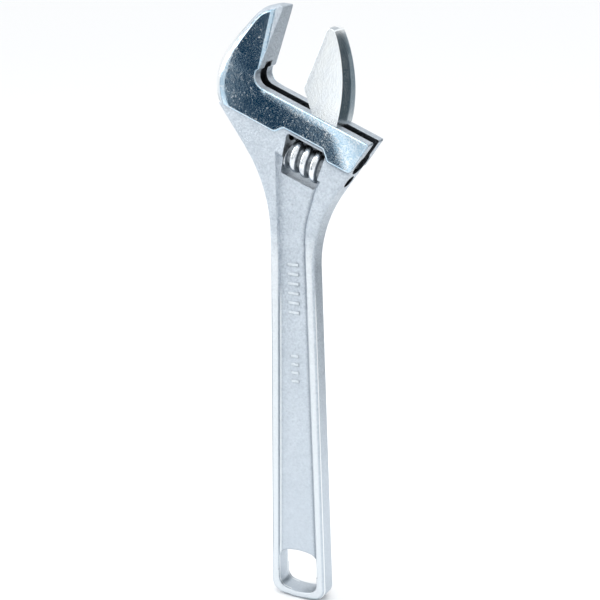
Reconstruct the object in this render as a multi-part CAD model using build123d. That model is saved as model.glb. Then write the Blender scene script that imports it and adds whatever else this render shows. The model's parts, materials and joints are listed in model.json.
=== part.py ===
from build123d import *
import math
import os

# Adjustable wrench, 250 mm long, standing on its handle end with the jaws up and its front towards -Y.
# Two frames are used. The handle frame has x across the handle and z up it. The head frame is tilted:
# s runs along the jaw slide, the way the jaws open, and n runs up the jaw faces, away from the throat.
# All lengths are millimetres and all angles degrees.

# Overall sizes
OVERALL_LENGTH = 250.0
HEAD_TILT = 22.5
HEAD_THICKNESS = 14.5
CHEEK_RISE = 0.8
HANDLE_END_WIDTH = 25.5
HANDLE_WAIST_WIDTH = 19.6
HANDLE_END_THICKNESS = 9.2
HANDLE_WAIST_THICKNESS = 8.6
HANDLE_OVERLAP = 3.1

# Head and fixed jaw
THROAT_X = -13.5
JAW_LENGTH = 32.25
JAW_TIP_DROP = 0.2
JAW_TIP_LAND = 4.0
JAW_TIP_CREST = 1.53
JAW_TIP_THICKNESS = 11.0
JAW_FACE_TIP_THICKNESS = 7.8
JAW_TAPER_START = 4.0
JAW_TAPER_RADIUS = 120.0
JAW_SLOPE = 0.38
FACE_BASE = 6.3
THROAT_RELIEF = 0.9
THROAT_RADIUS = 4.6
CHEEK_LENGTH = 52.9
CHEEK_DEPTH = 13.6
CHEEK_STEP = 3.3
CHEEK_END_DROP = 0.5
END_WALL_LEAN = 13.3
BACK_REACH = 18.65
BACK_FLAT = 0.75
CHEEK_ROUNDING = 0.6
END_EDGE_ROUNDING = 0.8
NECK_LEAN = 34.5
SHOULDER_SET_IN = 12.3
SHOULDER_DROP = 0.8
SHOULDER_RAMP_START = 6.0
NECK_RADIUS_LEFT = 60.0
NECK_RADIUS_RIGHT = 50.0
EDGE_ROUNDING = 1.8

# Handle: its waist, the panel on each face and the hanging hole
NECK_LENGTH = 69.8
HANDLE_CORNER_RADIUS = 5.5
HANDLE_END_CROWN = 2.0
RIM_WIDTH = 3.3
PANEL_DEPTH = 1.4
PANEL_DRAFT = 38.0
PANEL_TURN_DROP = 55.8
PANEL_TURN_RADIUS = 45.0
PANEL_LEFT_RADIUS = 60.0
PANEL_INTO_HOLE = 8.0
PANEL_INTO_WINDOW = 2.5
HOLE_TOP = 21.8
HOLE_CROWN = 1.7
HOLE_CORNER_RADIUS = 4.0
HOLE_DRAFT = 5.0
HOLE_RIM = 3.5
MARK_HEIGHT = 0.35
MARK_BAR = 1.3
MARK_ROWS = (
    {"drop": 12.0, "bars": 6, "width": 5.0, "spacing": 4.0},
    {"drop": 46.0, "bars": 4, "width": 3.6, "spacing": 3.6},
)

# Movable jaw, at rest with the jaws REST_OPENING apart
REST_OPENING = 20.0
JAW_FOOT_WIDTH = 18.6
JAW_HEEL = 8.0
JAW_HEEL_SET_BACK = 7.0
JAW_INSET = 0.25
JAW_BACK_DRAFT = 6.0
JAW_BLADE_TIP_THICKNESS = 8.4
BLADE_TAPER_START = 2.0
JAW_TIP_ROUNDING = 2.2
BLADE_LENGTH = 33.2
JAW_LIFT = 0.25
KEY_WIDTH = 4.7
KEY_START = 5.5
KEY_SET_BACK = 1.5
RACK_RADIUS = 4.5
RACK_FLAT = 2.8
RACK_START = -12.0
RACK_END = 28.8
RACK_COVER = 6.4
RACK_ENGAGEMENT = 1.1
RACK_CHAMFER = 0.6
SLOT_REACH = 2.5
SLOT_CROWN_HEIGHT = 6.0

# Adjusting worm, its pin and its spring
WORM_RADIUS = 7.0
WORM_PITCH = 4.5
THREAD_DEPTH = 1.75
THREAD_CREST = 2.2
THREAD_FLANK = 16.0
CREST_ROUNDING = 0.35
THREAD_HAND = 1
PIN_RADIUS = 1.8
PIN_HEAD_RADIUS = 2.6
PIN_HEAD_LENGTH = 4.5
PIN_RECESS = 3.4
PIN_SEAT_DEPTH = 7.0
DRIVER_SLOT = 0.9
DRIVER_SLOT_DEPTH = 1.0
SPRING_WIRE_RADIUS = 0.35
SPRING_LENGTH = 6.0
SPRING_TURNS = 5.0

# Window around the worm
WINDOW_START = 19.7
WINDOW_END = 37.9
RACK_SHOWING = 2.3
WINDOW_SLANT = 8.0
WINDOW_CORNER = 1.2
WINDOW_FLOOR_GAP = 1.4

# Fits
SLIDE_CLEARANCE = 0.15
RACK_CLEARANCE = 0.25
SPIN_CLEARANCE = 0.05
END_PLAY = 0.25
CLOSED_GAP = 0.2
BLIND_END_GAP = 1.0
SPRING_SLACK = 0.45
SPRING_CLEARANCE = 0.35

# How far cutting shapes run past what they cut
OVERRUN = 5.0
FAR = 120.0

# Derived sizes
TILT = math.radians(HEAD_TILT)
THROAT_Z = OVERALL_LENGTH - JAW_LENGTH * math.cos(TILT) - JAW_TIP_CREST * math.sin(TILT)
WAIST_HEIGHT = THROAT_Z - NECK_LENGTH
HEAD = Plane(
    origin=(THROAT_X, 0, THROAT_Z),
    x_dir=(math.cos(TILT), 0, -math.sin(TILT)),
    z_dir=(0, -1, 0),
)
SLIDE = HEAD.x_dir
SHOULDER_THICKNESS = HEAD_THICKNESS - 2 * CHEEK_RISE
BACK_ROUNDING = HEAD_THICKNESS / 2 - BACK_FLAT
JAW_THICKNESS = HEAD_THICKNESS - 2 * JAW_INSET
SLOT_WIDTH = KEY_WIDTH + 2 * SLIDE_CLEARANCE
BORE_RADIUS = RACK_RADIUS + SLIDE_CLEARANCE
RACK_AXIS_DEPTH = RACK_COVER + RACK_RADIUS
RACK_CREST = RACK_AXIS_DEPTH + RACK_FLAT
WORM_AXIS_DEPTH = RACK_CREST - RACK_ENGAGEMENT + WORM_RADIUS
WINDOW_TOP = -(RACK_CREST - RACK_SHOWING)
WINDOW_FLOOR = -(WORM_AXIS_DEPTH + WORM_RADIUS + WINDOW_FLOOR_GAP)
WINDOW_FLOOR_START = WINDOW_START + (WINDOW_TOP - WINDOW_FLOOR) * math.tan(math.radians(WINDOW_SLANT))
WORM_START = WINDOW_FLOOR_START + END_PLAY
WORM_END = WINDOW_END - END_PLAY
THREAD_ROOT_RADIUS = WORM_RADIUS - THREAD_DEPTH
THREAD_LEAD_ANGLE = math.degrees(math.atan(WORM_PITCH / (2 * math.pi * (WORM_RADIUS - THREAD_DEPTH / 2))))
SPRING_RADIUS = PIN_RADIUS + SPRING_SLACK + 2 * SPRING_WIRE_RADIUS
STOCK_TOP = -(CHEEK_DEPTH - HANDLE_OVERLAP)
CLOSING = REST_OPENING - CLOSED_GAP
PIN_START = WINDOW_START - PIN_SEAT_DEPTH
PIN_END = CHEEK_LENGTH - WORM_AXIS_DEPTH * math.tan(math.radians(END_WALL_LEAN)) - PIN_RECESS
PIN_HEAD_START = PIN_END - PIN_HEAD_LENGTH


def end_wall_s(n):
    """The slanted wall that ends the cheeks, as s at height n."""
    return CHEEK_LENGTH + n * math.tan(math.radians(END_WALL_LEAN))


def head_xz(s, n):
    """A point of the head frame, as x and z of the handle frame."""
    point = HEAD.from_local_coords(Vector(s, n, 0))
    return (point.X, point.Z)


def along_slide(s, n):
    """A plane square to the slide at a point of the head frame, with its x across the thickness."""
    x, z = head_xz(s, n)
    return Plane(origin=(x, 0, z), x_dir=(0, 1, 0), z_dir=SLIDE)


def head_prism(face, half_thickness):
    """A face drawn in the head frame, as a prism about the wrench's middle plane."""
    return extrude(HEAD * face, amount=half_thickness, both=True)


def handle_half_width(z):
    """Half the handle's width at height z; its sides are straight up to the waist."""
    slope = (HANDLE_END_WIDTH - HANDLE_WAIST_WIDTH) / 2 / WAIST_HEIGHT
    return HANDLE_END_WIDTH / 2 - slope * z


def jaw_back_curve():
    """The outer curve of the fixed jaw, from past the tip to past the foot of the cheeks."""
    return Spline(
        (4.0, JAW_LENGTH + 3.2),
        (-JAW_TIP_LAND, JAW_LENGTH - 1.1),
        (-8.2, JAW_LENGTH - 4.4),
        (-12.3, 20.3),
        (-17.0, 8.8),
        (-BACK_REACH, 0.0),
        (-17.3, -8.4),
        (-14.4, -CHEEK_DEPTH),
        (-8.0, -CHEEK_DEPTH - 6.5),
    )


def back_rounded_block():
    """A thick block behind the jaw's outer curve, with that curve's edges rolled over."""
    back = jaw_back_curve()
    rest = Polyline(back @ 1, (FAR, (back @ 1).Y), (FAR, (back @ 0).Y), back @ 0)
    block = head_prism(make_face([back, rest]), HEAD_THICKNESS / 2)
    rolled = [
        edge
        for edge in block.edges()
        if edge.geom_type == GeomType.BSPLINE and abs(edge.center().Y) > HEAD_THICKNESS / 2 - 0.1
    ]
    return fillet(rolled, BACK_ROUNDING)


def jaw_taper(thickness, tip_thickness, start):
    """A prism seen along the slide: full thickness up to n = start, thinner towards the jaw tips."""
    side = Plane(origin=HEAD.origin, x_dir=HEAD.y_dir, z_dir=SLIDE)
    full = thickness / 2
    slope = (full - tip_thickness / 2) / (JAW_LENGTH - start)
    top = JAW_LENGTH + OVERRUN
    half = FilletPolyline(
        (-FAR, 0), (-FAR, full), (start, full), (top, full - slope * (top - start)), (top, 0),
        radius=[0, JAW_TAPER_RADIUS, 0],
    )
    profile = make_face([half, Line(half @ 1, half @ 0)])
    return extrude(side * (profile + mirror(profile, Plane.XZ)), amount=FAR, both=True)


def cheek_face():
    """The polished plateau in the head frame: fixed jaw, throat and cheeks, stepped over the window."""
    foot = -CHEEK_DEPTH
    over_window = foot + CHEEK_STEP
    end_foot = foot - CHEEK_END_DROP
    outline = FilletPolyline(
        (-FAR, foot),
        (WINDOW_START - 5.0, foot),
        (WINDOW_START - 1.8, over_window),
        (WINDOW_END - 1.9, over_window),
        (WINDOW_END + 1.5, end_foot),
        (end_wall_s(end_foot), end_foot),
        (end_wall_s(0), 0),
        (0, 0),
        (0, JAW_LENGTH - 0.2),
        (-JAW_TIP_LAND, JAW_LENGTH - 1.1 + JAW_TIP_DROP),
        (-FAR, -FAR * 0.25 + JAW_LENGTH),
        close=True,
        radius=[0, 2.5, 1.0, 1.2, 1.6, 2.2, 0, FACE_BASE, 0.7, 0, 0],
    )
    return make_face(outline)


def throat_relief():
    """The undercut below the fixed jaw's face, which leaves the face a crisp lower end."""
    outline = FilletPolyline(
        (-THROAT_RELIEF, 0),
        (-THROAT_RELIEF, FACE_BASE - THROAT_RELIEF),
        (0, FACE_BASE),
        (2 * FACE_BASE, FACE_BASE),
        (2 * FACE_BASE, 0),
        close=True,
        radius=[THROAT_RADIUS, 0, 0, 0, 0],
    )
    return head_prism(make_face(outline), HEAD_THICKNESS)


def face_bevel():
    """The wedge that thins the fixed jaw's face towards its tip, on the front side."""
    full = HEAD_THICKNESS / 2
    start_n = FACE_BASE - 1.8
    drop = (full - JAW_FACE_TIP_THICKNESS / 2) / (JAW_LENGTH - start_n)
    foot = HEAD.from_local_coords(Vector(0, start_n, full))
    tip = HEAD.from_local_coords(Vector(0, JAW_LENGTH, full - drop * (JAW_LENGTH - start_n)))
    inward = HEAD.from_local_coords(Vector(-10, start_n, full + 10 * JAW_SLOPE))
    along = tip - foot
    outward = along.cross(inward - foot)
    if outward.Y > 0:
        outward = -outward
    wedge = Plane(origin=foot, x_dir=along, z_dir=outward)
    return wedge * Box(FAR, FAR, HEAD_THICKNESS, align=(Align.MIN, Align.CENTER, Align.MIN))


def make_head():
    """Fixed jaw and cheeks at full thickness, before the slot, bore and window are cut."""
    head = head_prism(cheek_face(), HEAD_THICKNESS) & back_rounded_block()
    wall_edges = [
        edge
        for edge in head.edges().filter_by(GeomType.LINE)
        if abs(edge.center().Y) > HEAD_THICKNESS / 2 - 0.1
        and abs(HEAD.to_local_coords(edge.center()).X - end_wall_s(-CHEEK_DEPTH / 2)) < 1.5
        and edge.length > CHEEK_DEPTH / 2
        and abs(edge.tangent_at(0.5).dot(SLIDE)) < 0.5
    ]
    head = fillet(wall_edges, END_EDGE_ROUNDING)
    top_edges = [
        edge
        for edge in head.edges()
        if abs(edge.center().Y) > HEAD_THICKNESS / 2 - 0.1
        and HEAD.to_local_coords(edge.center()).X > THROAT_RADIUS
        and abs(HEAD.to_local_coords(edge.center()).Y) < 0.1
        and edge.length > CHEEK_LENGTH / 2
    ]
    head = fillet(top_edges, CHEEK_ROUNDING)
    head = (head & jaw_taper(HEAD_THICKNESS, JAW_TIP_THICKNESS, JAW_TAPER_START)) - throat_relief()
    bevel = face_bevel()
    return head - bevel - mirror(bevel, Plane.XZ)


def body_outline():
    """The forging's outline below the polished plateau: shoulders, neck and handle."""
    left_x, left_z = head_xz(-SHOULDER_SET_IN, -CHEEK_DEPTH - SHOULDER_DROP)
    lean = math.tan(math.radians(NECK_LEAN))
    slope = (HANDLE_END_WIDTH - HANDLE_WAIST_WIDTH) / 2 / WAIST_HEIGHT
    turn_left = left_z - (-handle_half_width(left_z) - left_x) / (lean + slope)
    wall_x, wall_z = head_xz(end_wall_s(STOCK_TOP), STOCK_TOP)
    wall_lean = math.tan(math.radians(HEAD_TILT + END_WALL_LEAN))
    turn_right = wall_z - (wall_x - handle_half_width(wall_z)) / (wall_lean + slope)
    sides = FilletPolyline(
        (-handle_half_width(HANDLE_END_CROWN), HANDLE_END_CROWN),
        (-handle_half_width(turn_left), turn_left),
        (left_x, left_z),
        head_xz(-9, STOCK_TOP),
        (wall_x, wall_z),
        (handle_half_width(turn_right), turn_right),
        (handle_half_width(HANDLE_END_CROWN), HANDLE_END_CROWN),
        radius=[NECK_RADIUS_LEFT, 0, 0, 0, NECK_RADIUS_RIGHT],
    )
    end = ThreePointArc(sides @ 1, (0, 0), sides @ 0)
    face = make_face([sides, end])
    corners = face.vertices().sort_by(Axis.Y)[:2]
    return fillet(corners, HANDLE_CORNER_RADIUS)


def thickness_profile(inset):
    """The forging seen from its side, a distance inset under each face, as a prism across it."""
    end = HANDLE_END_THICKNESS / 2 - inset
    waist = HANDLE_WAIST_THICKNESS / 2 - inset
    shoulder = SHOULDER_THICKNESS / 2 - inset
    shoulder_z = head_xz(WINDOW_START, -CHEEK_DEPTH)[1] - SHOULDER_RAMP_START
    half = Polyline(
        (0, -OVERRUN), (end, -OVERRUN), (waist, WAIST_HEIGHT), (shoulder, shoulder_z),
        (shoulder, OVERALL_LENGTH), (0, OVERALL_LENGTH),
        close=True,
    )
    profile = make_face(half)
    side = Plane(origin=(0, 0, 0), x_dir=(0, 1, 0), z_dir=(1, 0, 0))
    return extrude(side * (profile + mirror(profile, Plane.YZ)), amount=FAR, both=True)


def is_outer_edge(edge):
    """True for an edge of the forging between a broad face and its side wall."""
    start, stop = edge @ 0, edge @ 1
    level = edge.geom_type == GeomType.LINE and abs(start.Z - stop.Z) < 0.01
    through = abs(start.Y - stop.Y) > HANDLE_WAIST_THICKNESS / 2
    in_head = HEAD.to_local_coords(edge.center()).Y > -CHEEK_DEPTH
    return not (level or through or in_head)


def make_stock():
    """Handle, neck and shoulders as one rounded bar of changing thickness."""
    bar = extrude(Plane.XZ * body_outline(), amount=HEAD_THICKNESS, both=True) & thickness_profile(0)
    return fillet(bar.edges().filter_by(is_outer_edge), EDGE_ROUNDING)


def panel_recess():
    """The sunken panel on the front face, from the window down into the hanging hole."""
    shallow = HANDLE_WAIST_THICKNESS / 2 - 2 * PANEL_DEPTH
    spread = (HANDLE_WAIST_THICKNESS / 2 - shallow) * math.tan(math.radians(PANEL_DRAFT))
    low = HOLE_TOP - PANEL_INTO_HOLE
    low_x = handle_half_width(low) - RIM_WIDTH - spread
    turn_z = THROAT_Z - PANEL_TURN_DROP
    turn_x = handle_half_width(turn_z) - RIM_WIDTH - spread
    left_top = head_xz(WINDOW_FLOOR_START, WINDOW_FLOOR)
    right_top = head_xz(WINDOW_END, WINDOW_FLOOR)
    over = PANEL_INTO_WINDOW
    outline = FilletPolyline(
        (-low_x, low),
        (-turn_x, WAIST_HEIGHT),
        (left_top[0] + spread, left_top[1] + over),
        (right_top[0] - spread + over * math.tan(TILT), right_top[1] + over),
        (right_top[0] - spread, right_top[1]),
        (turn_x, turn_z),
        (low_x, low),
        close=True,
        radius=[0, PANEL_LEFT_RADIUS, 0, 0, 0, PANEL_TURN_RADIUS, 0],
    )
    base = Plane(origin=(0, -shallow, 0), x_dir=(1, 0, 0), z_dir=(0, -1, 0))
    cut = extrude(base * make_face(outline), amount=HEAD_THICKNESS / 2, taper=-PANEL_DRAFT)
    return cut - thickness_profile(PANEL_DEPTH)


def hanging_hole():
    """The hole in the handle's end, drafted from a parting ridge at mid thickness."""
    half = handle_half_width(HOLE_TOP) - RIM_WIDTH - HANDLE_END_THICKNESS / 2 * math.tan(
        math.radians(HOLE_DRAFT)
    )
    low = HOLE_RIM
    rise = Polyline((half, low + HOLE_CROWN), (half, HOLE_TOP - HOLE_CROWN))
    top = ThreePointArc(rise @ 1, (0, HOLE_TOP), (-half, HOLE_TOP - HOLE_CROWN))
    fall = Polyline(top @ 1, (-half, low + HOLE_CROWN))
    bottom = ThreePointArc(fall @ 1, (0, low), rise @ 0)
    face = make_face([rise, top, fall, bottom])
    face = fillet(face.vertices(), HOLE_CORNER_RADIUS)
    return extrude(Plane.XZ * face, amount=HANDLE_END_THICKNESS, both=True, taper=-HOLE_DRAFT)


def worm_window():
    """The opening right through the head that the worm turns in."""
    outline = FilletPolyline(
        (WINDOW_START, WINDOW_TOP),
        (WINDOW_END, WINDOW_TOP),
        (WINDOW_END, WINDOW_FLOOR),
        (WINDOW_FLOOR_START, WINDOW_FLOOR),
        close=True,
        radius=WINDOW_CORNER,
    )
    return head_prism(make_face(outline), HEAD_THICKNESS)


def key_slot():
    """The slot that the movable jaw's key runs in; its round end shows low on the fixed jaw's face."""
    start = -SLOT_REACH
    round_top = along_slide(start, SLOT_CROWN_HEIGHT) * Circle(SLOT_WIDTH / 2)
    height = SLOT_CROWN_HEIGHT + RACK_AXIS_DEPTH
    flat = along_slide(start, SLOT_CROWN_HEIGHT - height / 2) * Rectangle(SLOT_WIDTH, height)
    return extrude(round_top + flat, amount=FAR)


def rack_bore():
    """The round bore along the slide, open at the end wall and blind inside the fixed jaw."""
    start = REST_OPENING + RACK_START - CLOSING - BLIND_END_GAP
    return extrude(along_slide(start, -RACK_AXIS_DEPTH) * Circle(BORE_RADIUS), amount=FAR)


def pin_bore():
    """The hole for the worm's pin: threaded and wide at the end wall, narrow and blind at its seat."""
    shank = along_slide(PIN_START, -WORM_AXIS_DEPTH) * Circle(PIN_RADIUS + SPIN_CLEARANCE)
    mouth = along_slide(PIN_HEAD_START, -WORM_AXIS_DEPTH) * Circle(PIN_HEAD_RADIUS + SPIN_CLEARANCE)
    return extrude(shank, amount=FAR) + extrude(mouth, amount=FAR)


def panel_marks():
    """Two rows of plain raised bars on the front panel's floor."""
    floor = HANDLE_WAIST_THICKNESS / 2 - PANEL_DEPTH
    bars = []
    for row in MARK_ROWS:
        for index in range(row["bars"]):
            z = WAIST_HEIGHT - row["drop"] + (index - (row["bars"] - 1) / 2) * row["spacing"]
            stock = Pos(0, -floor, z) * Box(row["width"], 2 * MARK_HEIGHT, MARK_BAR)
            bars.append(chamfer(stock.edges().group_by(Axis.Y)[0], MARK_HEIGHT * 0.6))
    return bars


def make_body():
    """The forged body: handle, neck, cheeks and fixed jaw in one piece."""
    recess = panel_recess()
    body = make_head() + make_stock()
    body -= recess
    body -= mirror(recess, Plane.XZ)
    for cut in (hanging_hole(), worm_window(), key_slot(), rack_bore(), pin_bore()):
        body -= cut
    for bar in panel_marks():
        body += bar
    return body


def jaw_blade():
    """The movable jaw above the cheeks: flat face, undercut heel, and a back drafted from mid thickness."""
    face_s = REST_OPENING
    back_s = face_s + JAW_FOOT_WIDTH
    top = BLADE_LENGTH
    under = JAW_LIFT - OVERRUN
    back = ThreePointArc((back_s + 0.5, under), (face_s + 13.4, 18.3), (face_s + 4.4, top - 1.6))
    shell = FilletPolyline(
        back @ 1, (face_s + 2.6, top), (face_s - OVERRUN, top - 0.9), (face_s - OVERRUN, under), back @ 0,
        radius=[JAW_TIP_ROUNDING, 0, 0],
    )
    outline = HEAD * make_face([back, shell])
    drafted = extrude(outline, amount=JAW_THICKNESS, both=True, taper=JAW_BACK_DRAFT)
    front = FilletPolyline(
        (face_s, JAW_HEEL),
        (face_s, top),
        (back_s + OVERRUN, top + OVERRUN),
        (back_s + OVERRUN, JAW_LIFT),
        (face_s + JAW_HEEL_SET_BACK, JAW_LIFT),
        close=True,
        radius=[0.6, JAW_TIP_ROUNDING, 0, 0, 0],
    )
    blade = drafted & head_prism(make_face(front), JAW_THICKNESS)
    return blade & jaw_taper(JAW_THICKNESS, JAW_BLADE_TIP_THICKNESS, BLADE_TAPER_START)


def thread_crests():
    """Where the worm's thread meets the line of the rack, as s values at rest."""
    first = WORM_START + WORM_PITCH / 2
    return [first + index * WORM_PITCH for index in range(-8, 9)]


def rack_groove(s):
    """One slanted groove of the rack, clear of the worm's thread by the rack clearance."""
    floor = -(WORM_AXIS_DEPTH - WORM_RADIUS) + RACK_CLEARANCE
    mouth = -(RACK_CREST + 1)
    floor_half = THREAD_CREST / 2 + RACK_CLEARANCE
    mouth_half = floor_half + (floor - mouth) * math.tan(math.radians(THREAD_FLANK))
    outline = Polyline(
        (s - floor_half, floor), (s + floor_half, floor), (s + mouth_half, mouth), (s - mouth_half, mouth),
        close=True,
    )
    x, z = head_xz(s, floor)
    turn = Axis(origin=(x, 0, z), direction=HEAD.y_dir)
    return head_prism(make_face(outline), RACK_RADIUS + 1).rotate(turn, THREAD_HAND * THREAD_LEAD_ANGLE)


def make_movable_jaw():
    """Movable jaw: blade, the key in the cheeks' slot, and the round rack under it."""
    start = REST_OPENING + RACK_START
    bar = extrude(along_slide(start, -RACK_AXIS_DEPTH) * Circle(RACK_RADIUS), amount=RACK_END - RACK_START)
    bar = chamfer(bar.edges().filter_by(GeomType.CIRCLE), RACK_CHAMFER)
    under = along_slide(start, -RACK_CREST - RACK_RADIUS) * Rectangle(2 * RACK_RADIUS, 2 * RACK_RADIUS)
    bar -= extrude(under, amount=RACK_END - RACK_START)
    key_low = REST_OPENING + KEY_START
    key_high = REST_OPENING + JAW_FOOT_WIDTH
    root = JAW_LIFT + 1
    key_outline = Polyline(
        (key_low, -RACK_AXIS_DEPTH), (key_low, -root), (REST_OPENING + JAW_HEEL_SET_BACK, root),
        (key_high - KEY_SET_BACK, root), (key_high - KEY_SET_BACK, JAW_LIFT), (key_high, -RACK_AXIS_DEPTH),
        close=True,
    )
    jaw = jaw_blade() + head_prism(make_face(key_outline), KEY_WIDTH / 2) + bar
    for s in thread_crests():
        if start - WORM_PITCH < s < start + RACK_END - RACK_START + WORM_PITCH:
            jaw -= rack_groove(s)
    return jaw


def worm_thread():
    """The worm's thread, longer than the worm at both ends and rooted inside its core."""
    root = THREAD_ROOT_RADIUS - 0.5
    root_half = THREAD_CREST / 2 + (WORM_RADIUS - root) * math.tan(math.radians(THREAD_FLANK))
    shoulder = WORM_RADIUS - CREST_ROUNDING
    crest_half = THREAD_CREST / 2
    turns = math.ceil((WORM_END - WORM_START) / WORM_PITCH) + 2
    start = thread_crests()[7] - WORM_PITCH
    helix = Helix(WORM_PITCH, turns * WORM_PITCH, root, lefthand=THREAD_HAND < 0)
    crest = ThreePointArc((shoulder, -crest_half), (WORM_RADIUS, 0), (shoulder, crest_half))
    flanks = Polyline(crest @ 1, (root, root_half), (root, -root_half), crest @ 0)
    section = Plane.XZ * make_face([crest, flanks])
    thread = sweep(section, path=helix, is_frenet=True)
    x, z = head_xz(start, -WORM_AXIS_DEPTH)
    return Plane(origin=(x, 0, z), x_dir=HEAD.y_dir, z_dir=SLIDE) * thread


def make_worm():
    """Adjusting worm, bored for its pin and counterbored for its spring at the end-wall side."""
    length = WORM_END - WORM_START
    axis = along_slide(WORM_START, -WORM_AXIS_DEPTH)
    envelope = extrude(axis * Circle(WORM_RADIUS + 1), amount=length)
    core = extrude(axis * Circle(THREAD_ROOT_RADIUS), amount=length)
    bore = extrude(axis * Circle(PIN_RADIUS + SPIN_CLEARANCE), amount=length)
    pocket_start = WINDOW_END - SPRING_LENGTH - SPIN_CLEARANCE
    pocket = along_slide(pocket_start, -WORM_AXIS_DEPTH) * Circle(SPRING_RADIUS + SPRING_CLEARANCE)
    return (worm_thread() & envelope) + core - bore - extrude(pocket, amount=length)


def make_pin():
    """The worm's pin: plain shank seated in the neck, wider threaded head with a driver slot."""
    shank = along_slide(PIN_START, -WORM_AXIS_DEPTH) * Circle(PIN_RADIUS)
    head = along_slide(PIN_HEAD_START, -WORM_AXIS_DEPTH) * Circle(PIN_HEAD_RADIUS)
    slot_floor = along_slide(PIN_END - DRIVER_SLOT_DEPTH, -WORM_AXIS_DEPTH)
    slot = slot_floor * Rectangle(DRIVER_SLOT, 4 * PIN_HEAD_RADIUS)
    pin = extrude(shank, amount=PIN_HEAD_START - PIN_START) + extrude(head, amount=PIN_HEAD_LENGTH)
    return pin - extrude(slot, amount=2 * DRIVER_SLOT_DEPTH)


def make_spring():
    """The small compression spring round the pin, between the worm and the window's end."""
    mean = SPRING_RADIUS - SPRING_WIRE_RADIUS
    travel = SPRING_LENGTH - 2 * SPRING_WIRE_RADIUS
    helix = Helix(travel / SPRING_TURNS, travel, mean)
    wire = Plane(origin=helix @ 0, z_dir=helix % 0) * Circle(SPRING_WIRE_RADIUS)
    coil = sweep(wire, path=helix, is_frenet=True)
    start = WINDOW_END - SPRING_LENGTH + SPRING_WIRE_RADIUS
    return along_slide(start, -WORM_AXIS_DEPTH) * coil


def build_nodes():
    """Every piece by name, moved so that the wrench stands centred on its origin."""
    nodes = {
        "body": make_body(),
        "movable_jaw": make_movable_jaw(),
        "adjusting_worm": make_worm(),
        "worm_pin": make_pin(),
        "worm_spring": make_spring(),
    }
    shift = Pos(-nodes["body"].bounding_box().center().X, 0, 0)
    return {name: shift * piece for name, piece in nodes.items()}


if __name__ == "__main__":
    os.makedirs("parts", exist_ok=True)
    for name, piece in build_nodes().items():
        export_step(piece, f"parts/{name}.step")
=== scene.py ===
import json
import math

import bmesh
import bpy
from mathutils import Matrix, Vector


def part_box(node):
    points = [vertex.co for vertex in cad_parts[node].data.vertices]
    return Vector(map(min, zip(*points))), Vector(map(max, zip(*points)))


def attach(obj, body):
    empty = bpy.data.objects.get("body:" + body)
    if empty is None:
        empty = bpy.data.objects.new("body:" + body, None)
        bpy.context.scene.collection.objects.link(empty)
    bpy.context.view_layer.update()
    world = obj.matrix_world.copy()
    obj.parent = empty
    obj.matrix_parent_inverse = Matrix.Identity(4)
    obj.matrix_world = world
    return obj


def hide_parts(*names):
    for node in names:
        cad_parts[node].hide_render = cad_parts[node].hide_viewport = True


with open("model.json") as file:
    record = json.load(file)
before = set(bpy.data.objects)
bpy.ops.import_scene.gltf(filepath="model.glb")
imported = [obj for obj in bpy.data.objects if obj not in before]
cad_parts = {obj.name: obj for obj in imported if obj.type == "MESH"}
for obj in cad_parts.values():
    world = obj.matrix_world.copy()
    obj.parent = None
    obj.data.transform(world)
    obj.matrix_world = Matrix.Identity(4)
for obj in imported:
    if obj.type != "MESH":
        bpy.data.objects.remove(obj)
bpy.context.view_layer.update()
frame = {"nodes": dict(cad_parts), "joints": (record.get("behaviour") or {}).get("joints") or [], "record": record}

nodes = frame["nodes"]
MM = 0.001

# ---------------------------------------------------------------------------------------------------
# The slide of the head, which the jaw, the rack and the worm all line up with. It is the jaw joint's
# axis, and the jaw faces rise square to it from the throat, where the fixed jaw meets the cheeks.
slide_joint = [joint for joint in frame["joints"] if joint["name"] == "jaw_slide"][0]
SLIDE = Vector(slide_joint["axis"]).normalized()
RISE = Vector((-SLIDE.z, 0, SLIDE.x))
face_mount = [mount for mount in frame["record"]["mounts"] if mount["name"] == "fixed_jaw_face"][0]
FACE_MOUNT_HEIGHT = 20 * MM
THROAT = Vector(face_mount["pos_m"]) - RISE * FACE_MOUNT_HEIGHT

# ---------------------------------------------------------------------------------------------------
# Forged body: handle, neck, cheeks and fixed jaw in one drop forging. It is tumbled, satin chromed
# all over, and then ground and polished on the raised plateau of the head.
FULL_METAL = 1.0
MERGE_DISTANCE = 0.002 * MM
FLAT_FACE_WEIGHT = 80
CRISP = 0.1 * MM
SOFT = 0.2 * MM
BROAD = 1 * MM

SLOT_HALF = 2.55 * MM
SLOT_TOP = 8.7 * MM
SLOT_START = -3 * MM
RACK_DEPTH = 10.9 * MM
RACK_BORE = 4.7 * MM
RACK_BORE_START = -5 * MM
PIN_DEPTH = 19.6 * MM
PIN_MOUTH = 2.7 * MM
PIN_MOUTH_START = 40 * MM

CHEEK_DEPTH = 14.3 * MM
JAW_TAPER = 0.0619
JAW_TAPER_START = 4 * MM
PLATEAU_EDGE = 0.45 * MM
PLATEAU_BLEND = 0.30 * MM
BACK_POLISH_START = -15 * MM
BACK_POLISH_BLEND = 6 * MM
TOP_ROLL_START = -3.4 * MM
TOP_ROLL_FROM = 2 * MM
TOP_ROLL_BLEND = 4 * MM
TOP_ROLL = 20
END_ROLL_START = 33 * MM
END_ROLL_LEAN = 0.8
END_ROLL = 5

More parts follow.
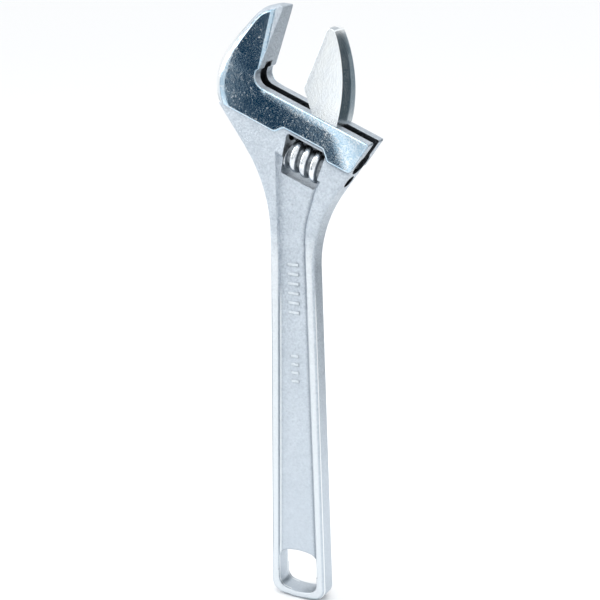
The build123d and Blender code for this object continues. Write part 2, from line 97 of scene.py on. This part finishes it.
HANDLE_END_HALF = 4.6 * MM
HANDLE_THINNING = 0.002
PANEL_DEPTH = 1.4 * MM
HEAD_START = 150 * MM
HEAD_BLEND = 12 * MM
RAIL_TOP = 1.1 * MM
WALL_FOOT = 0.04 * MM
WALL_FOOT_TOP = 0.45 * MM
WALL_FACE = 0.5 * MM
WALL_FACE_TOP = 1.15 * MM
WALL_TOP_BLEND = 0.15 * MM
WALL_FADE_START = 128 * MM
WALL_FADE = 13 * MM
WALL_SHADE_START = 18 * MM
WALL_SHADE_BLEND = 6 * MM
PANEL_MIDDLE_HALF = 4.3 * MM
PANEL_MIDDLE_BLEND = 0.3 * MM
SHADED_WALL_EDGE = -4 * MM

MARK_FOOT = 3.08 * MM
MARK_TOP = 3.2 * MM
MARK_MIDDLE = -1.2 * MM
MARK_HALF_WIDTH = 2.8 * MM
MARKS_LOW = 96 * MM
MARKS_HIGH = 150 * MM

PEEL_SIZE = 0.9 * MM
SKIN_SIZE = 5 * MM
CLOUD_SIZE = 7 * MM
FLECK_SIZE = 0.7 * MM
FINE_SKIN_HEIGHT = 40 * MM
COARSE_SKIN_HEIGHT = 150 * MM
FINE_SKIN = 0.35
GRAIN_MEAN = 0.49
GRAIN_LEVEL = 0.52
SATIN_ROUGH = 0.30
SKIN_ROUGH = 0.16
POLISH_ROUGH = 0.05
MOTTLE_ROUGH = 0.05
PIT_ROUGH = 0.24

RELIEF_UNIT = 1 * MM
PEEL_RELIEF = 0.60
SKIN_RELIEF = 0.16
POLISH_RELIEF = 0.03
EDGE_SAMPLES = 6
EDGE_RADIUS = 0.55 * MM
HANDLE_EDGE_EXTRA = 0.4 * MM

CORNER_REACH = 1.8 * MM
CORNER_SAMPLES = 8
CORNER_SHADE_EVERYWHERE = 0.2
CORNER_SHADE_OPEN_SIDE = 0.6
OPEN_SIDE_START = -1 * MM
OPEN_SIDE_BLEND = 3 * MM
MARK_SHINE = 0.3
RAIL_HIGHLIGHT = 0.45
WALL_SHADE = 0.4

SATIN_LIGHT = (0.60, 0.66, 0.72)
SATIN_DARK = (0.42, 0.475, 0.535)
POLISH_LIGHT = (0.90, 0.935, 0.945)
POLISH_DARK = (0.42, 0.58, 0.71)
RECESS_SHADE_COLOUR = (0.045, 0.052, 0.06)
CORNER_SHADE_COLOUR = (0.10, 0.13, 0.17)


def finished_copy(node_name, smooth_angle):
    """A closed, smooth-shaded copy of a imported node, with its creases kept sharp."""
    source = nodes[node_name]
    mesh = source.data.copy()
    mesh.materials.clear()
    shape = bmesh.new()
    shape.from_mesh(mesh)
    bmesh.ops.remove_doubles(shape, verts=shape.verts, dist=MERGE_DISTANCE)
    for face in shape.faces:
        face.smooth = True
    for edge in shape.edges:
        sharp = len(edge.link_faces) != 2 or edge.calc_face_angle(0) > math.radians(smooth_angle)
        edge.smooth = not sharp
    shape.to_mesh(mesh)
    shape.free()
    piece = bpy.data.objects.new(node_name + "_finished", mesh)
    bpy.context.scene.collection.objects.link(piece)
    weighted = piece.modifiers.new("even_normals", "WEIGHTED_NORMAL")
    weighted.mode = "FACE_AREA_WITH_ANGLE"
    weighted.weight = FLAT_FACE_WEIGHT
    weighted.keep_sharp = True
    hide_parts(node_name)
    return piece


class Value:
    """A value in a node tree, so that shader maths reads as ordinary arithmetic."""

    def __init__(self, tree, socket):
        self.tree = tree
        self.socket = socket

    def node(self, kind, settings=None, **inputs):
        """Any node of this tree: its settings first, then values or links for its sockets.

        A socket goes by its name, with _ for a space, or by its place, as i0 or i1.
        """
        made = self.tree.nodes.new(kind)
        for name, value in (settings or {}).items():
            if name == "stops":
                ramp = made.color_ramp
                for index, (position, colour) in enumerate(value):
                    stop = ramp.elements[index] if index < 2 else ramp.elements.new(position)
                    stop.position = position
                    stop.color = colour
            else:
                setattr(made, name, value)
        for name, value in inputs.items():
            key = int(name[1:]) if name[0] == "i" and name[1:].isdigit() else name.replace("_", " ")
            socket = made.inputs[key]
            if isinstance(value, Value):
                self.tree.links.new(value.socket, socket)
            elif isinstance(value, bpy.types.Node):
                self.tree.links.new(value.outputs[0], socket)
            else:
                socket.default_value = value
        return made

    def maths(self, operation, *values, clamp=False):
        """A Math node on values or numbers."""
        inputs = {f"i{index}": value for index, value in enumerate(values)}
        settings = {"operation": operation, "use_clamp": clamp}
        return Value(self.tree, self.node("ShaderNodeMath", settings, **inputs).outputs[0])

    def __add__(self, other):
        return self.maths("ADD", self, other)

    __radd__ = __add__

    def __sub__(self, other):
        return self.maths("SUBTRACT", self, other)

    def __rsub__(self, other):
        return self.maths("SUBTRACT", other, self)

    def __mul__(self, other):
        return self.maths("MULTIPLY", self, other)

    __rmul__ = __mul__

    def __truediv__(self, other):
        return self.maths("DIVIDE", self, other)

    def abs(self):
        return self.maths("ABSOLUTE", self)

    def root(self):
        return self.maths("SQRT", self)

    def larger(self, other):
        return self.maths("MAXIMUM", self, other)

    def step(self, low, high):
        """0 below low, 1 above high, and an even slope between them."""
        return self.maths("MULTIPLY", self - low, 1 / (high - low), clamp=True)

    def past(self, edge, blend):
        """0 up to an edge, and 1 once past it by the width of the blend."""
        return self.step(edge, edge + blend)


def new_material(name):
    """An empty material, its shader and the start of its maths."""
    material = bpy.data.materials.new(name)
    material.use_nodes = True
    tree = material.node_tree
    shader = tree.nodes["Principled BSDF"]
    return material, shader, Value(tree, None)


def place(maths):
    """The object coordinates of a point: as one vector, and as three values in metres."""
    where = Value(maths.tree, maths.node("ShaderNodeTexCoord").outputs["Object"])
    split = maths.node("ShaderNodeSeparateXYZ", Vector=where)
    return where, [Value(maths.tree, out) for out in split.outputs]


def noise(maths, where, size, detail, roughness):
    """Fractal noise with grains of about the given size."""
    made = maths.node("ShaderNodeTexNoise", Vector=where, Scale=1 / size, Detail=detail, Roughness=roughness)
    return Value(maths.tree, made.outputs["Fac"])


def mix_colour(maths, factor, first, second):
    """A colour between two others."""
    made = maths.node("ShaderNodeMix", {"data_type": "RGBA"}, Factor=factor, i6=first, i7=second)
    return Value(maths.tree, made.outputs[2])


def bump(maths, relief, edge_radius):
    """A surface normal from a relief in millimetres, with the metal's corners softened by a small radius."""
    soft = maths.node("ShaderNodeBevel", {"samples": EDGE_SAMPLES}, Radius=edge_radius)
    made = maths.node("ShaderNodeBump", Height=relief, Distance=RELIEF_UNIT, Strength=1.0, Normal=soft)
    return Value(maths.tree, made.outputs[0])


def rgba(colour):
    """A colour with full cover, as a colour socket takes it."""
    return (*colour, 1.0)


def link(value, socket):
    """Feeds a value to a shader's own socket."""
    value.tree.links.new(value.socket, socket)


def head_place(x, z):
    """Distances from the throat of the jaws: along the slide, and up the jaw faces."""
    return (
        (x - THROAT.x) * SLIDE.x + (z - THROAT.z) * SLIDE.z,
        (x - THROAT.x) * RISE.x + (z - THROAT.z) * RISE.z,
    )


def from_axis(y, height, depth):
    """Distance from an axis that runs along the slide, at a depth below the throat."""
    below = height + depth
    return (y * y + below * below).root()


def painted_recess_shade(y, along, height):
    """1 in the slot, the rack bore and the pin bore's mouth, which are painted dark as shade."""
    slot = (1 - y.abs().past(SLOT_HALF, CRISP)) * along.past(SLOT_START, SOFT)
    slot = slot * height.past(-RACK_DEPTH, SOFT) * (1 - height.past(SLOT_TOP, SOFT))
    rack_bore = 1 - from_axis(y, height, RACK_DEPTH).past(RACK_BORE, CRISP)
    pin_mouth = 1 - from_axis(y, height, PIN_DEPTH).past(PIN_MOUTH, CRISP)
    rack_bore = rack_bore * along.past(RACK_BORE_START, SOFT)
    return slot.larger(rack_bore).larger(pin_mouth * along.past(PIN_MOUTH_START, SOFT))


def polished_faces(y, along, height):
    """1 on the plateau of each side, and 1 round the back of the head, which the same belt polished."""
    below_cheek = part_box("body")[1].y - y.abs()
    taper = (height - JAW_TAPER_START).larger(0.0) * JAW_TAPER
    plateau = (1 - (below_cheek - taper).past(PLATEAU_EDGE, PLATEAU_BLEND)) * height.past(-CHEEK_DEPTH, SOFT)
    back = height.past(-CHEEK_DEPTH, BROAD) * (1 - along.past(BACK_POLISH_START, BACK_POLISH_BLEND))
    return plateau, back


def belt_roll(along, height):
    """How far the belt rolled the plateau over, towards its upper edge and its open end."""
    top = (height - TOP_ROLL_START).larger(0.0) * along.past(TOP_ROLL_FROM, TOP_ROLL_BLEND)
    end = (along + height * END_ROLL_LEAN - END_ROLL_START).larger(0.0)
    return (top * top * TOP_ROLL + end * end * END_ROLL) / MM


def worn_marks(x, y, z):
    """1 on the tops of the raised bars in the panel, which handling wears bright."""
    top = y.abs().step(MARK_FOOT, MARK_TOP) * (1 - y.abs().past(MARK_TOP + SOFT, CRISP))
    rows = z.past(MARKS_LOW, BROAD) * (1 - z.past(MARKS_HIGH, BROAD))
    return top * rows * (1 - (x - MARK_MIDDLE).abs().past(MARK_HALF_WIDTH, CRISP))


def panel_lines(x, y, z):
    """The raised rails beside the panel, painted light as a highlight; a painted highlight along the foot of its
    walls; and painted shade on the left wall.
    """
    above = y.abs() - (HANDLE_END_HALF - PANEL_DEPTH - z * HANDLE_THINNING)
    below_neck = 1 - z.past(WALL_FADE_START, WALL_FADE)
    rail_highlight = above.past(RAIL_TOP, SOFT)
    foot_highlight = above.past(WALL_FOOT, CRISP) * (1 - above.past(WALL_FOOT_TOP, WALL_TOP_BLEND))
    foot_highlight = foot_highlight * below_neck * x.abs().past(PANEL_MIDDLE_HALF, PANEL_MIDDLE_BLEND)
    wall = above.past(WALL_FACE, CRISP) * (1 - above.past(WALL_FACE_TOP, WALL_TOP_BLEND))
    wall = wall * below_neck * z.past(WALL_SHADE_START, WALL_SHADE_BLEND)
    return rail_highlight, foot_highlight, wall * (1 - x.past(SHADED_WALL_EDGE, BROAD))


def painted_corner_shade(maths, x):
    """Painted shade in the inside corners, where little light reaches, most of it on the side the jaws open to."""
    settings = {"samples": CORNER_SAMPLES, "only_local": True}
    open_air = maths.node("ShaderNodeAmbientOcclusion", settings, Distance=CORNER_REACH)
    closed = (1 - Value(maths.tree, open_air.outputs["AO"])).step(0.05, 0.17)
    return closed * (x.past(OPEN_SIDE_START, OPEN_SIDE_BLEND) * CORNER_SHADE_OPEN_SIDE + CORNER_SHADE_EVERYWHERE)


def body_chrome():
    """Satin chrome over a cast skin, turning to a belt-polished mirror on the plateau."""
    material, shader, maths = new_material("body_chrome")
    where, (x, y, z) = place(maths)
    along, height = head_place(x, z)
    plateau, back = polished_faces(y, along, height)
    polished = plateau.larger(back)
    on_handle = 1 - z.past(HEAD_START, HEAD_BLEND)
    rail_highlight, foot_highlight, wall = panel_lines(x, y, z)

    peel = noise(maths, where, PEEL_SIZE, detail=3.0, roughness=0.55)
    skin = noise(maths, where, SKIN_SIZE, detail=7.0, roughness=0.72)
    cloud = noise(maths, where, CLOUD_SIZE, detail=8.0, roughness=0.72)
    fleck = noise(maths, where, FLECK_SIZE, detail=4.0, roughness=0.75)

    # The forging's skin is coarse near the head and gets finer down the handle.
    coarse = z.step(FINE_SKIN_HEIGHT, COARSE_SKIN_HEIGHT) * (1 - FINE_SKIN) + FINE_SKIN
    grain = ((skin * 0.4 + peel * 0.6 - GRAIN_MEAN) * coarse + GRAIN_LEVEL).step(0.36, 0.62)
    satin = mix_colour(maths, grain, rgba(SATIN_DARK), rgba(SATIN_LIGHT))
    mottle = (cloud * 0.45 + fleck * 0.55).step(0.47, 0.64)
    pits = fleck.step(0.56, 0.65) * cloud.step(0.43, 0.58)
    polish = mix_colour(maths, mottle.larger(back * (1 - plateau)), rgba(POLISH_DARK), rgba(POLISH_LIGHT))

    chrome = mix_colour(maths, polished, satin, polish)
    # Painted highlights on the rails and along the panel's wall foot, and the bars' tops worn bright.
    wear_and_highlight = (worn_marks(x, y, z) * MARK_SHINE).larger(rail_highlight * on_handle * RAIL_HIGHLIGHT).larger(foot_highlight)
    chrome = mix_colour(maths, wear_and_highlight, chrome, rgba(POLISH_LIGHT))
    # Painted shade darkens the inside corners and the left wall of the panel.
    corner_shade = painted_corner_shade(maths, x) * (1 - foot_highlight) * (1 - polished)
    chrome = mix_colour(maths, corner_shade.larger(wall * WALL_SHADE), chrome, rgba(CORNER_SHADE_COLOUR))
    # The slot and the bores are painted dark, as shade.
    chrome = mix_colour(maths, painted_recess_shade(y, along, height), chrome, rgba(RECESS_SHADE_COLOUR))
    link(chrome, shader.inputs["Base Color"])

    satin_rough = SATIN_ROUGH + skin * SKIN_ROUGH
    polish_rough = POLISH_ROUGH + mottle * MOTTLE_ROUGH + pits * PIT_ROUGH
    link(satin_rough + (polish_rough - satin_rough) * polished, shader.inputs["Roughness"])

    cast_relief = (peel * PEEL_RELIEF + skin * SKIN_RELIEF) * coarse
    polish_relief = (cloud + fleck) * POLISH_RELIEF - belt_roll(along, height) * plateau
    relief = cast_relief * (1 - polished) + polish_relief * polished
    edge_radius = on_handle * HANDLE_EDGE_EXTRA + EDGE_RADIUS
    link(bump(maths, relief, edge_radius), shader.inputs["Normal"])
    shader.inputs["Metallic"].default_value = FULL_METAL
    return material


BODY_CREASE = 19
body = finished_copy("body", BODY_CREASE)
body.data.materials.append(body_chrome())
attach(body, "root")

# ---------------------------------------------------------------------------------------------------
# Movable jaw: a forged blade with a key that runs in the cheeks' slot and a round rack in their bore.
# Its blade is polished brighter than the body; the key and the rack below it are painted dark, as shade.
RACK_TOP = -3 * MM
SHADE_FADE = 3 * MM
GRINDING_SIZE = 3 * MM
GRINDING_STRETCH = 8
BLADE_CLOUD_SIZE = 6 * MM
BLADE_ROUGH = 0.16
BLADE_CLOUD_ROUGH = 0.16
RACK_ROUGH = 0.1
BLADE_PEEL_RELIEF = 0.025
BLADE_CLOUD_RELIEF = 0.03
BLADE_EDGE_RADIUS = 0.35 * MM
JAW_BRIGHT = (0.95, 0.98, 0.985)
JAW_SHADE = (0.86, 0.90, 0.93)
RACK_SHADE_COLOUR = (0.10, 0.11, 0.12)


def stretched(maths, where):
    """Object coordinates drawn out along the jaw's height, for grinding marks."""
    settings = {"vector_type": "TEXTURE"}
    turn = (0, math.atan2(RISE.x, RISE.z), 0)
    scale = (1, 1, GRINDING_STRETCH)
    turned = maths.node("ShaderNodeMapping", settings, Vector=where, Rotation=turn, Scale=scale)
    return Value(maths.tree, turned.outputs[0])


def jaw_chrome():
    """Brighter chrome on the blade, and painted shade on the key and the rack below it."""
    material, shader, maths = new_material("jaw_chrome")
    where, (x, y, z) = place(maths)
    height = head_place(x, z)[1]
    shaded_rack = 1 - height.step(RACK_TOP - SHADE_FADE, RACK_TOP)
    cloud = noise(maths, where, BLADE_CLOUD_SIZE, detail=7.0, roughness=0.7)
    peel = noise(maths, where, PEEL_SIZE, detail=3.0, roughness=0.6)
    grinding = noise(maths, stretched(maths, where), GRINDING_SIZE, detail=2.0, roughness=0.5)
    tone = (cloud * 0.6 + grinding * 0.4).step(0.38, 0.62)
    chrome = mix_colour(maths, tone, rgba(JAW_SHADE), rgba(JAW_BRIGHT))
    # The key and the rack sit in the head's slot and bore, and are painted dark as shade.
    link(mix_colour(maths, shaded_rack, chrome, rgba(RACK_SHADE_COLOUR)), shader.inputs["Base Color"])
    link(BLADE_ROUGH + cloud * BLADE_CLOUD_ROUGH + shaded_rack * RACK_ROUGH, shader.inputs["Roughness"])
    relief = peel * BLADE_PEEL_RELIEF + cloud * BLADE_CLOUD_RELIEF
    link(bump(maths, relief, BLADE_EDGE_RADIUS), shader.inputs["Normal"])
    shader.inputs["Metallic"].default_value = FULL_METAL
    return material


JAW_CREASE = 28
jaw = finished_copy("movable_jaw", JAW_CREASE)
jaw.data.materials.append(jaw_chrome())
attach(jaw, "jaw")

# ---------------------------------------------------------------------------------------------------
# Adjusting worm: the knurl that the thumb turns, one coarse right-hand thread turned from bar. Its crests
# are barrel-polished and painted light as a highlight; the groove is painted dark as shade.
WORM_DEPTH = PIN_DEPTH
WORM_CREST = 7.0 * MM
WORM_ROOT = 5.25 * MM
CREST_HIGHLIGHT_START = WORM_ROOT + 0.7 * MM
CREST_HIGHLIGHT_FULL = WORM_CREST - 0.15 * MM
GROOVE_SHADE_FULL = WORM_ROOT - 0.3 * MM
GROOVE_SHADE_END = WORM_ROOT + 0.6 * MM
TURNING_PITCH = 0.12 * MM
SMEAR_SIZE = 2.5 * MM
FLANK_ROUGH = 0.30
SMEAR_ROUGH = 0.2
CREST_SHINE = 0.22
TURNING_RELIEF = 0.002
SMEAR_RELIEF = 0.05
WORM_EDGE_RADIUS = 0.3 * MM
CREST_HIGHLIGHT_COLOUR = (0.83, 0.86, 0.89)
FLANK_GREY = (0.40, 0.44, 0.48)
GROOVE_SHADE_COLOUR = (0.07, 0.08, 0.09)


def ridges(maths, distance, pitch):
    """The fine ridges that a turning tool leaves, as a wave over a distance."""
    return maths.maths("SINE", distance * (2 * math.pi / pitch))


def worm_chrome():
    """Crests painted light as a highlight, grey flanks with turning marks, and a groove painted dark as shade."""
    material, shader, maths = new_material("worm_chrome")
    where, (x, y, z) = place(maths)
    radius = from_axis(y, head_place(x, z)[1], WORM_DEPTH)
    crest = radius.step(CREST_HIGHLIGHT_START, CREST_HIGHLIGHT_FULL)
    groove_shade = 1 - radius.step(GROOVE_SHADE_FULL, GROOVE_SHADE_END)
    smear = noise(maths, where, SMEAR_SIZE, detail=6.0, roughness=0.7)
    turning = ridges(maths, radius, TURNING_PITCH)
    # Crests painted light as a highlight, and the groove painted dark as shade.
    chrome = mix_colour(maths, crest * smear.step(0.25, 0.55), rgba(FLANK_GREY), rgba(CREST_HIGHLIGHT_COLOUR))
    chrome = mix_colour(maths, groove_shade * smear.step(0.3, 0.5), chrome, rgba(GROOVE_SHADE_COLOUR))
    link(chrome, shader.inputs["Base Color"])
    link(FLANK_ROUGH + smear * SMEAR_ROUGH - crest * CREST_SHINE, shader.inputs["Roughness"])
    relief = turning * TURNING_RELIEF + smear * SMEAR_RELIEF
    link(bump(maths, relief, WORM_EDGE_RADIUS), shader.inputs["Normal"])
    shader.inputs["Metallic"].default_value = FULL_METAL
    return material


WORM_CREASE = 28
worm = finished_copy("adjusting_worm", WORM_CREASE)
worm.data.materials.append(worm_chrome())
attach(worm, "worm")

# ---------------------------------------------------------------------------------------------------
# Worm pin and its spring: the pin is a turned screw, put in from the end wall and seated in the neck;
# the spring is drawn wire round it, and takes up the worm's end play. Both are bare, oiled steel.
SMALL_CREASE = 35
STAIN_SIZE = 3 * MM
GRAIN_SIZE = 0.6 * MM
STAIN_DEPTH = 0.7
STEEL_ROUGH = 0.24
STAIN_ROUGH = 0.2
GRAIN_ROUGH = 0.12
MARKS_RELIEF = 0.004
GRAIN_RELIEF = 0.02
STEEL_EDGE_RADIUS = 0.1 * MM
PIN_MARKS = 0.15 * MM
WIRE_MARKS = 0.4 * MM
PIN_STEEL = (0.46, 0.47, 0.49)
WIRE_STEEL = (0.36, 0.36, 0.38)
OIL_STAIN = (0.16, 0.14, 0.12)


def oiled_steel(name, colour, mark_pitch):
    """Plain steel with fine tool marks across it and brown oil stains."""
    material, shader, maths = new_material(name)
    where, (x, y, z) = place(maths)
    along = head_place(x, z)[0]
    stain = noise(maths, where, STAIN_SIZE, detail=6.0, roughness=0.7).step(0.45, 0.65)
    grain = noise(maths, where, GRAIN_SIZE, detail=3.0, roughness=0.6)
    marks = ridges(maths, along, mark_pitch)
    link(mix_colour(maths, stain * STAIN_DEPTH, rgba(colour), rgba(OIL_STAIN)), shader.inputs["Base Color"])
    link(STEEL_ROUGH + stain * STAIN_ROUGH + grain * GRAIN_ROUGH, shader.inputs["Roughness"])
    relief = marks * MARKS_RELIEF + grain * GRAIN_RELIEF
    link(bump(maths, relief, STEEL_EDGE_RADIUS), shader.inputs["Normal"])
    shader.inputs["Metallic"].default_value = FULL_METAL
    return material


for node_name, slot_name, colour, mark_pitch in (
    ("worm_pin", "pin_steel", PIN_STEEL, PIN_MARKS),
    ("worm_spring", "spring_steel", WIRE_STEEL, WIRE_MARKS),
):
    piece = finished_copy(node_name, SMALL_CREASE)
    piece.data.materials.append(oiled_steel(slot_name, colour, mark_pitch))
    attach(piece, "root")

# ---------------------------------------------------------------------------------------------------
# The studio: a wide, plain pale floor, two softboxes and a white room. Cards hang round the tool, because
# chrome shows only what it mirrors: two dark blue ones and a bright one before the head, grey ones above,
# behind and beside it.
FLOOR_SIDE = 12.0
FLOOR_COLOUR = (0.86, 0.865, 0.87)
FLOOR_ROUGH = 0.9
FLOOR_SHEEN = 0.1


def flat_card(name, width, height):
    """A flat rectangle about the origin, facing +Z, which isn't part of the object."""
    shape = bmesh.new()
    bmesh.ops.create_grid(shape, x_segments=1, y_segments=1, size=0.5)
    bmesh.ops.scale(shape, vec=(width, height, 1), verts=shape.verts)
    mesh = bpy.data.meshes.new(name)
    shape.to_mesh(mesh)
    shape.free()
    card = bpy.data.objects.new(name, mesh)
    bpy.context.scene.collection.objects.link(card)
    return card


def floor_paint(name, colour):
    """A plain, nearly matt paint."""
    material, shader, maths = new_material(name)
    shader.inputs["Base Color"].default_value = rgba(colour)
    shader.inputs["Roughness"].default_value = FLOOR_ROUGH
    shader.inputs["Specular IOR Level"].default_value = FLOOR_SHEEN
    return material


floor = flat_card("floor", FLOOR_SIDE, FLOOR_SIDE)
floor.data.materials.append(floor_paint("floor_white", FLOOR_COLOUR))


def facing(start, target):
    """The turn that points an object's +Z from one place towards another."""
    return (Vector(target) - Vector(start)).to_track_quat("Z", "Y").to_matrix().to_4x4()


CARD_SOLID = 0.84


def card_glow(name, size, colour):
    """An even glow that fades out towards the edge of a card with round corners."""
    material = bpy.data.materials.new(name)
    material.use_nodes = True
    tree = material.node_tree
    tree.nodes.clear()
    maths = Value(tree, None)
    across, upward = [value * 2 / side for value, side in zip(place(maths)[1], size)]
    from_centre = (across * across * across * across + upward * upward * upward * upward).root().root()
    solid = 1 - from_centre.step(CARD_SOLID, 1.0)
    glow = maths.node("ShaderNodeEmission", Color=rgba(colour), Strength=1.0)
    clear = maths.node("ShaderNodeBsdfTransparent")
    mixed = maths.node("ShaderNodeMixShader", Fac=solid, i1=clear, i2=glow)
    maths.node("ShaderNodeOutputMaterial", Surface=mixed)
    return material


def hung_card(name, centre, target, size, colour, lean):
    """A soft-edged card that only polished metal sees, as a studio hangs beside chrome."""
    card = flat_card(name, *size)
    card.matrix_world = Matrix.Translation(centre) @ facing(centre, target) @ Matrix.Rotation(lean, 4, "Z")
    card.visible_camera = False
    card.visible_diffuse = False
    card.visible_shadow = False
    card.data.materials.append(card_glow(name, size, colour))


UPRIGHT = 0.0
WITH_JAW = math.radians(6)
WITH_SLIDE = math.atan2(RISE.x, RISE.z)
FRONT_BLUE = (0.0, 0.036, 0.074)
for name, centre, aim, size, colour, lean in (
    ("jaw_flag", (-0.168, -0.30, 0.208), (-0.168, 0, 0.208), (0.092, 0.21), FRONT_BLUE, WITH_JAW),
    ("cheek_flag", (-0.155, -0.29, 0.137), (-0.155, 0, 0.137), (0.141, 0.066), FRONT_BLUE, WITH_SLIDE),
    ("top_flag", (-0.010, 0.24, 0.42), (0, 0, 0.235), (0.22, 0.16), (0.50, 0.54, 0.58), UPRIGHT),
    ("bounce_card", (-0.095, -0.36, 0.175), (0.02, 0, 0.21), (0.14, 0.17), (1.3, 1.32, 1.33), UPRIGHT),
    ("side_flag", (0.178, 0.205, 0.185), (0.03, 0, 0.22), (0.18, 0.36), (0.022, 0.042, 0.056), UPRIGHT),
    ("rear_flag", (0.105, 0.26, 0.165), (0.03, 0, 0.20), (0.13, 0.28), (0.17, 0.23, 0.27), UPRIGHT),
    ("right_flag", (0.150, -0.036, 0.075), (0, 0, 0.12), (0.05, 0.19), (0.36, 0.41, 0.46), UPRIGHT),
    ("left_flag", (-0.150, 0.130, 0.085), (0, 0, 0.13), (0.10, 0.20), (0.05, 0.075, 0.095), UPRIGHT),
):
    hung_card(name, centre, aim, size, colour, lean)


def softbox(name, centre, target, width, height, power):
    """A soft light that the metal mirrors but the camera doesn't see. A lamp shines along its -Z."""
    light = bpy.data.lights.new(name, "AREA")
    light.shape = "RECTANGLE"
    light.size = width
    light.size_y = height
    light.energy = power
    lamp = bpy.data.objects.new(name, light)
    bpy.context.scene.collection.objects.link(lamp)
    lamp.matrix_world = Matrix.Translation(centre) @ facing(target, centre)
    lamp.visible_camera = False


HANDLE_TOP = (0, 0, 0.15)
softbox("left_softbox", (-0.75, -0.25, 0.55), HANDLE_TOP, 0.5, 0.7, 2.6)
softbox("top_softbox", (0.1, -0.15, 0.95), HANDLE_TOP, 0.6, 0.6, 2.2)

HORIZON_WHITE = (0.96, 0.965, 0.97)
ZENITH_WHITE = (1.2, 1.21, 1.22)
world = bpy.data.worlds.new("studio")
bpy.context.scene.world = world
world.use_nodes = True
room = Value(world.node_tree, None)
direction = Value(world.node_tree, room.node("ShaderNodeTexCoord").outputs["Generated"])
split = room.node("ShaderNodeSeparateXYZ", Vector=direction)
upward = Value(world.node_tree, split.outputs[2])
stops = ((0.0, rgba(HORIZON_WHITE)), (1.0, rgba(ZENITH_WHITE)))
sky = room.node("ShaderNodeValToRGB", {"stops": stops}, Fac=upward)
background = world.node_tree.nodes["Background"]
world.node_tree.links.new(sky.outputs[0], background.inputs["Color"])
background.inputs["Strength"].default_value = 1.0
bpy.context.scene.view_settings.view_transform = "Standard"

# ---------------------------------------------------------------------------------------------------
# The camera stands to the right of the wrench's front, looks slightly down on it, and leans a little.
# It is about 0.6 m away, so the handle's end looks a little smaller than the head for its size.
CAMERA_AZIMUTH = math.radians(27.827)
CAMERA_ELEVATION = math.radians(17.445)
CAMERA_ROLL = math.radians(-1.065)
CAMERA_DISTANCE = 0.59354
CAMERA_TARGET = Vector((0.000107, 0, 0.132383))
CAMERA_LENS = 88.52
CAMERA_SENSOR = 36

back = Vector((
    math.sin(CAMERA_AZIMUTH) * math.cos(CAMERA_ELEVATION),
    -math.cos(CAMERA_AZIMUTH) * math.cos(CAMERA_ELEVATION),
    math.sin(CAMERA_ELEVATION),
))
right = Vector((math.cos(CAMERA_AZIMUTH), math.sin(CAMERA_AZIMUTH), 0))
up = back.cross(right)
rolled_right = right * math.cos(CAMERA_ROLL) + up * math.sin(CAMERA_ROLL)
rolled_up = up * math.cos(CAMERA_ROLL) - right * math.sin(CAMERA_ROLL)
turn = Matrix((rolled_right, rolled_up, back)).transposed().to_4x4()
camera = bpy.data.objects.new("camera", bpy.data.cameras.new("camera"))
bpy.context.scene.collection.objects.link(camera)
camera.matrix_world = Matrix.Translation(CAMERA_TARGET + back * CAMERA_DISTANCE) @ turn
camera.data.lens = CAMERA_LENS
camera.data.sensor_width = CAMERA_SENSOR
bpy.context.scene.camera = camera
